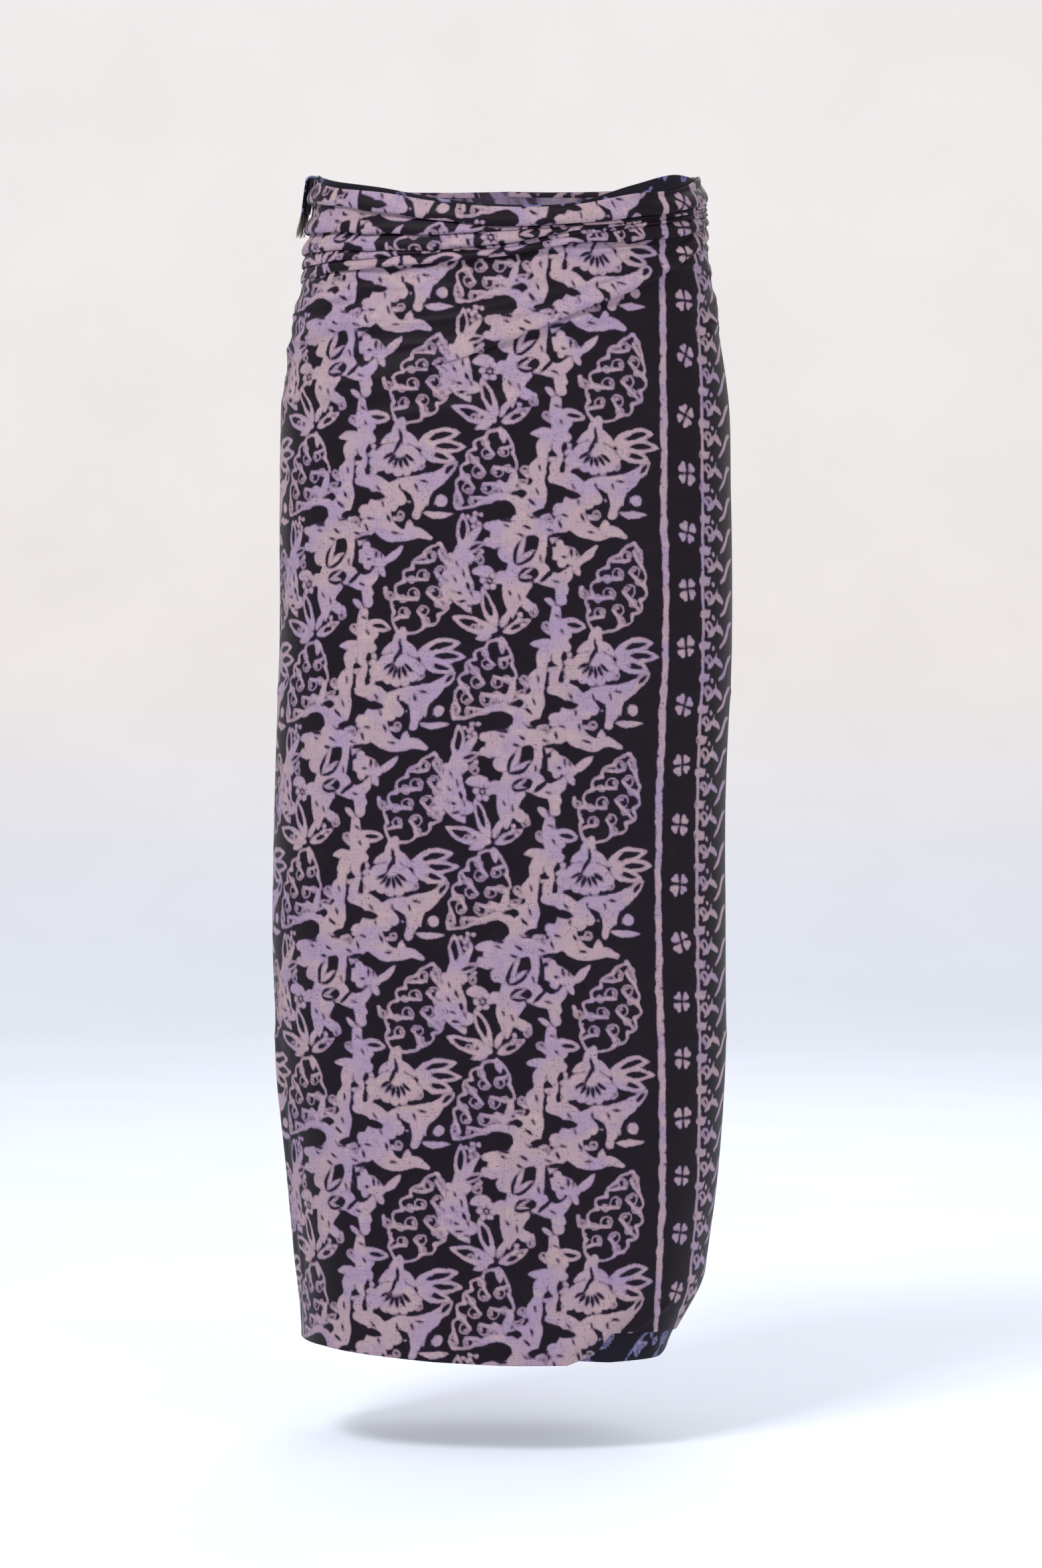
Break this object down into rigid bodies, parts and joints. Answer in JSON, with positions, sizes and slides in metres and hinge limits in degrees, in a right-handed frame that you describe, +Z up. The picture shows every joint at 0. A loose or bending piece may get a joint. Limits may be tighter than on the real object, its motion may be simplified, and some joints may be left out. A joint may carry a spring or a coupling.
{
  "type": "wrapped sarong, worn",
  "caption": "Ankle-length wrap skirt of printed cloth, wound round the hips with its top scrunched into folds and its end tucked in at one side.",
  "frame": {"origin": "middle of the waist, on the wearer's axis at the height of the top edge, where the body holds the cloth", "axes": "+Z up, -Y towards the front of the garment, +X towards the wearer's left, which is the right of the picture"},
  "size_m": [0.3705, 0.2441, 0.9452],
  "materials": {
    "printed_cloth": "soft printed plain weave with a faint sheen, lilac motifs on aubergine",
    "printed_cloth_inner": "the same print in bluer, darker dye",
    "fringe_thread": "loose pale thread"
  },
  "bodies": {
    "root": {"wrap_front_outer": "printed_cloth", "wrap_back": "printed_cloth", "wrap_front_inner": "printed_cloth_inner", "tail_flap": "printed_cloth_inner", "tail_fringe": "fringe_thread"}
  },
  "joints": []
}
